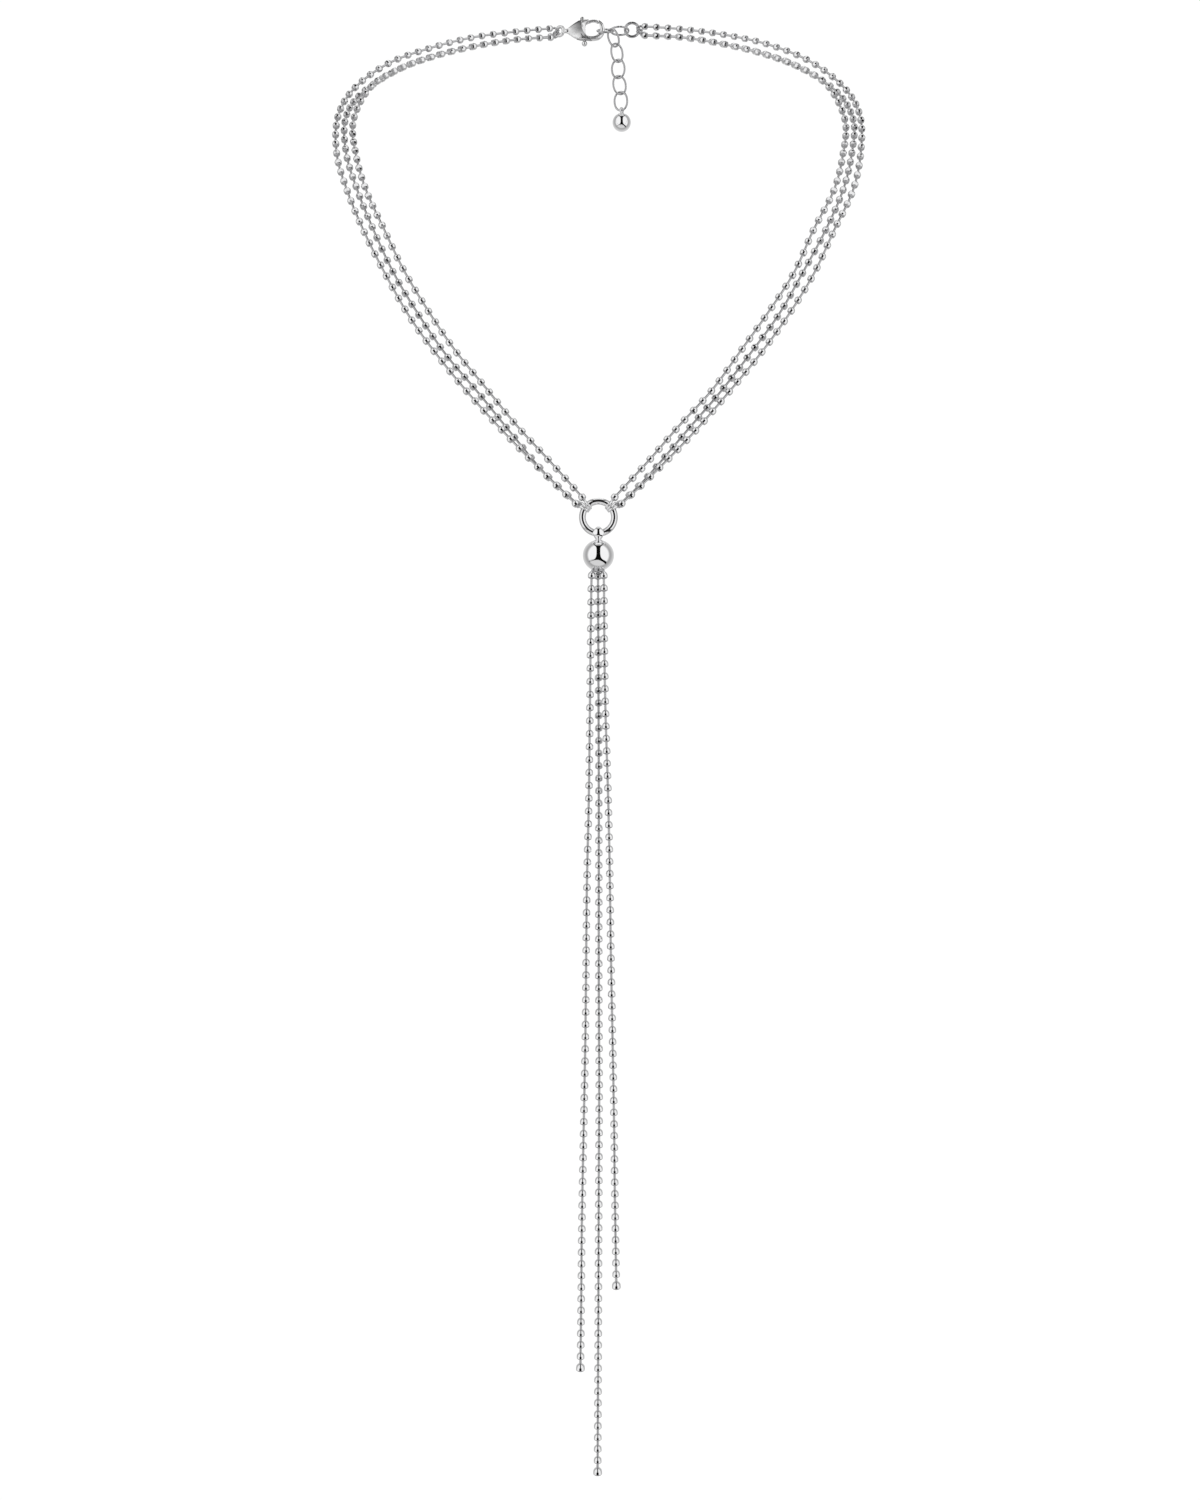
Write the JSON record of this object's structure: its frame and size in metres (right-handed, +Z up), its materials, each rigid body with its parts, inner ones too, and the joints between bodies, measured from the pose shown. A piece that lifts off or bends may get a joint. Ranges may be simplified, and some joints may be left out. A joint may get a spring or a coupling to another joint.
{
  "type": "long necklace",
  "caption": "Long necklace of ball-chain strands that meet at a round ring, with a ball drop, a chain tassel, a lobster clasp and an extension chain, in its worn form.",
  "frame": {"origin": "the middle of the chain at the back of the neck, where it rests on the nape, between the clasp's hook and the link in it", "axes": "+X to the right as seen from the front, +Y to the back, +Z up; the necklace keeps its worn form"},
  "size_m": [0.1418, 0.0826, 0.3896],
  "materials": {
    "chain": "bright polished plating on ball chain",
    "wire": "bright polished plating on wire",
    "ring": "bright polished plating",
    "ball": "mirror polished plating",
    "clasp": "polished plated casting"
  },
  "bodies": {
    "necklace": {"left_outer_strand": "chain", "left_middle_strand": "chain", "left_inner_strand": "chain", "right_outer_strand": "chain", "right_middle_strand": "chain", "right_inner_strand": "chain", "left_outer_front_loop": "wire", "left_middle_front_loop": "wire", "left_inner_front_loop": "wire", "right_outer_front_loop": "wire", "right_middle_front_loop": "wire", "right_inner_front_loop": "wire", "left_outer_end_loop": "wire", "left_middle_end_loop": "wire", "left_inner_end_loop": "wire", "right_outer_end_loop": "wire", "right_middle_end_loop": "wire", "right_inner_end_loop": "wire", "front_ring": "ring", "clasp_body": "clasp", "jump_ring": "wire", "hooked_link": "wire", "joining_link": "wire", "hanging_link_1": "wire", "hanging_link_2": "wire", "hanging_link_3": "wire", "hanging_link_4": "wire", "hanging_link_5": "wire", "end_ball": "ball"},
    "drop": {"drop_bail": "ring", "drop_ball": "ball", "left_tassel": "chain", "centre_tassel": "chain", "right_tassel": "chain"},
    "lever": {"clasp_lever": "clasp"}
  },
  "joints": [
    {"name": "drop_swing", "type": "hinge", "parent": "necklace", "child": "drop", "pos_m": [-0.0004, -0.075, -0.1503], "axis": [1, 0, 0], "range_deg": [-80, 80]},
    {"name": "clasp_lever", "type": "hinge", "parent": "necklace", "child": "lever", "pos_m": [-0.0051, 0, 0.001], "axis": [0, 1, 0], "range_deg": [0, 10], "stiffness_Nm_per_rad": 0.002, "springref_deg": -17.19}
  ]
}
